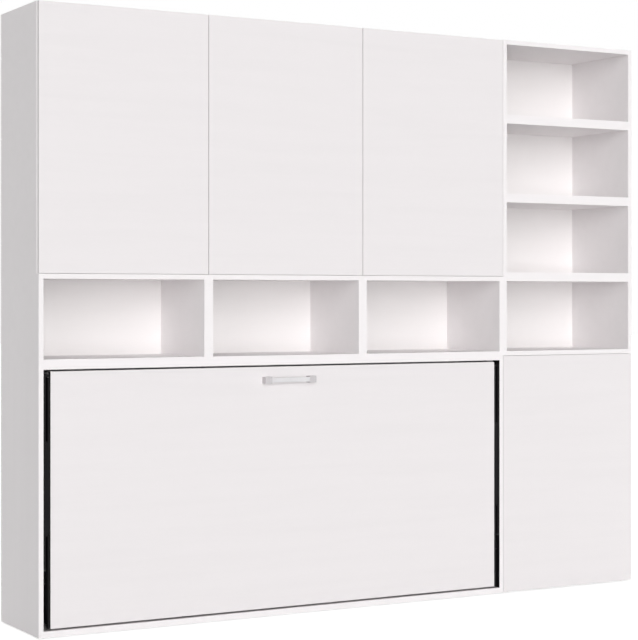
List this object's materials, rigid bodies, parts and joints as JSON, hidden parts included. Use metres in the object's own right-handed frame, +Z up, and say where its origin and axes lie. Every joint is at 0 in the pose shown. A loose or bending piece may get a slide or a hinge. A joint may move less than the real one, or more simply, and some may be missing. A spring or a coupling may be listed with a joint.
{
  "type": "wall bed with fold down desk",
  "caption": "White wall unit: a fold-away bed whose front panel folds down as a desk, with open cubbies, cupboards and a shelf tower.",
  "frame": {"origin": "centre of the footprint, handle included, on the floor", "axes": "+X along the wall to the tower side, +Y from the front to the wall, +Z up"},
  "size_m": [2.8, 0.44, 2.37],
  "materials": {
    "white_board": "satin",
    "white_front": "satin",
    "thin_board": "matte",
    "black_laminate": "matte",
    "black_steel": "satin",
    "frame_steel": "satin",
    "zinc_steel": "satin",
    "polished_rod": "polished",
    "rubber": "matte",
    "dark_plastic": "matte",
    "light_plastic": "satin",
    "beech": "satin",
    "mattress_cover": "matte",
    "webbing": "matte",
    "handle_bar_metal": "satin",
    "handle_foot_metal": "satin"
  },
  "bodies": {
    "cabinet": {"bed_side_left": "white_board", "bed_side_right": "white_board", "bed_top_board": "white_board", "bed_base_board": "white_board", "bed_back_panel": "thin_board", "wall_rails": "white_board", "floor_glides": "rubber", "side_trims": "black_laminate", "bed_pivot_pins": "black_steel", "strut_brackets": "black_steel", "cubby_left": "white_board", "cubby_middle": "white_board", "cubby_right": "white_board", "overhead_left": "white_board", "overhead_middle": "white_board", "overhead_right": "white_board", "tower_lower": "white_board", "tower_cube_1": "white_board", "tower_cube_2": "white_board", "tower_cube_3": "white_board", "tower_cube_4": "white_board", "thin_backs": "thin_board", "cupboard_shelves": "white_board", "shelf_pins": "zinc_steel", "hinge_plates": "zinc_steel", "latch_bodies": "light_plastic", "module_connectors": "zinc_steel"},
    "bed": {"base_panel": "thin_board", "bed_frame": "frame_steel", "bed_side_plates": "black_steel", "slats": "beech", "slat_caps": "dark_plastic", "mattress": "mattress_cover", "mattress_straps": "webbing", "desk_tracks": "black_steel", "leaf_bumpers": "rubber"},
    "desk_arms": {"desk_arms": "black_steel"},
    "desk_leaf": {"desk_leaf": "white_front", "leaf_edge_rails": "black_steel", "track_rollers": "dark_plastic", "handle_bar": "handle_bar_metal", "handle_feet": "handle_foot_metal"},
    "desk_legs": {"desk_legs": "black_steel", "desk_leg_feet": "rubber"},
    "bed_legs": {"bed_legs": "black_steel", "bed_leg_feet": "rubber"},
    "strut_tubes": {"strut_tubes": "black_steel"},
    "strut_rods": {"strut_rods": "polished_rod"},
    "door_left": {"door_left": "white_front", "hinge_cups_left": "zinc_steel"},
    "door_middle": {"door_middle": "white_front", "hinge_cups_middle": "zinc_steel"},
    "door_right": {"door_right": "white_front", "hinge_cups_right": "zinc_steel"},
    "door_tower": {"door_tower": "white_front", "hinge_cups_tower": "zinc_steel"},
    "plunger_left": {"plunger_left": "light_plastic"},
    "plunger_middle": {"plunger_middle": "light_plastic"},
    "plunger_right": {"plunger_right": "light_plastic"},
    "plunger_tower": {"plunger_tower": "light_plastic"}
  },
  "joints": [
    {"name": "bed_fold", "type": "hinge", "parent": "cabinet", "child": "bed", "pos_m": [-0.35, -0.16, 0.204], "axis": [1, 0, 0], "range_deg": [0, 90]},
    {"name": "desk_arm_swing", "type": "hinge", "parent": "bed", "child": "desk_arms", "pos_m": [-0.35, -0.1805, 0.726], "axis": [1, 0, 0], "range_deg": [-90, 0]},
    {"name": "desk_leaf_turn", "type": "hinge", "parent": "desk_arms", "child": "desk_leaf", "pos_m": [-0.35, -0.1805, 0.385], "axis": [1, 0, 0], "range_deg": [0, 180]},
    {"name": "desk_leg_swing", "type": "hinge", "parent": "desk_leaf", "child": "desk_legs", "pos_m": [-0.35, -0.1805, 0.977], "axis": [1, 0, 0], "range_deg": [-90, 0]},
    {"name": "bed_leg_swing", "type": "hinge", "parent": "bed", "child": "bed_legs", "pos_m": [-0.35, -0.15, 0.954], "axis": [-1, 0, 0], "range_deg": [0, 90]},
    {"name": "strut_swing", "type": "hinge", "parent": "cabinet", "child": "strut_tubes", "pos_m": [-0.35, -0.13, 0.444], "axis": [1, 0, 0], "range_deg": [0, 16.47]},
    {"name": "strut_slide", "type": "slide", "parent": "strut_tubes", "child": "strut_rods", "axis": [0, -0.0152, -0.9999], "range_m": [-0.10692, 0]},
    {"name": "door_left_swing", "type": "hinge", "parent": "cabinet", "child": "door_left", "pos_m": [-1.397, -0.1885, 1.863], "axis": [0, 0, -1], "range_deg": [0, 105]},
    {"name": "plunger_left_slide", "type": "slide", "parent": "cabinet", "child": "plunger_left", "axis": [0, -1, 0], "range_m": [0, 0.0301]},
    {"name": "door_middle_swing", "type": "hinge", "parent": "cabinet", "child": "door_middle", "pos_m": [-0.697, -0.1885, 1.863], "axis": [0, 0, -1], "range_deg": [0, 105]},
    {"name": "plunger_middle_slide", "type": "slide", "parent": "cabinet", "child": "plunger_middle", "axis": [0, -1, 0], "range_m": [0, 0.0301]},
    {"name": "door_right_swing", "type": "hinge", "parent": "cabinet", "child": "door_right", "pos_m": [0.697, -0.1885, 1.863], "axis": [0, 0, 1], "range_deg": [0, 105]},
    {"name": "plunger_right_slide", "type": "slide", "parent": "cabinet", "child": "plunger_right", "axis": [0, -1, 0], "range_m": [0, 0.0301]},
    {"name": "door_tower_swing", "type": "hinge", "parent": "cabinet", "child": "door_tower", "pos_m": [1.397, -0.1885, 0.511], "axis": [0, 0, 1], "range_deg": [0, 105]},
    {"name": "plunger_tower_slide", "type": "slide", "parent": "cabinet", "child": "plunger_tower", "axis": [0, -1, 0], "range_m": [0, 0.0301]}
  ],
  "couplings": [
    {"joint": "desk_leaf_turn", "follows": "desk_arm_swing", "ratio": -2},
    {"joint": "desk_leg_swing", "follows": "desk_arm_swing", "ratio": 1},
    {"joint": "bed_leg_swing", "follows": "bed_fold", "ratio": 1},
    {"joint": "strut_swing", "follows": "bed_fold", "ratio": 0.1829},
    {"joint": "strut_slide", "follows": "bed_fold", "m_per_rad": -0.068005},
    {"joint": "plunger_left_slide", "follows": "door_left_swing", "m_per_rad": 0.01637},
    {"joint": "plunger_middle_slide", "follows": "door_middle_swing", "m_per_rad": 0.01637},
    {"joint": "plunger_right_slide", "follows": "door_right_swing", "m_per_rad": 0.01637},
    {"joint": "plunger_tower_slide", "follows": "door_tower_swing", "m_per_rad": 0.01637}
  ]
}
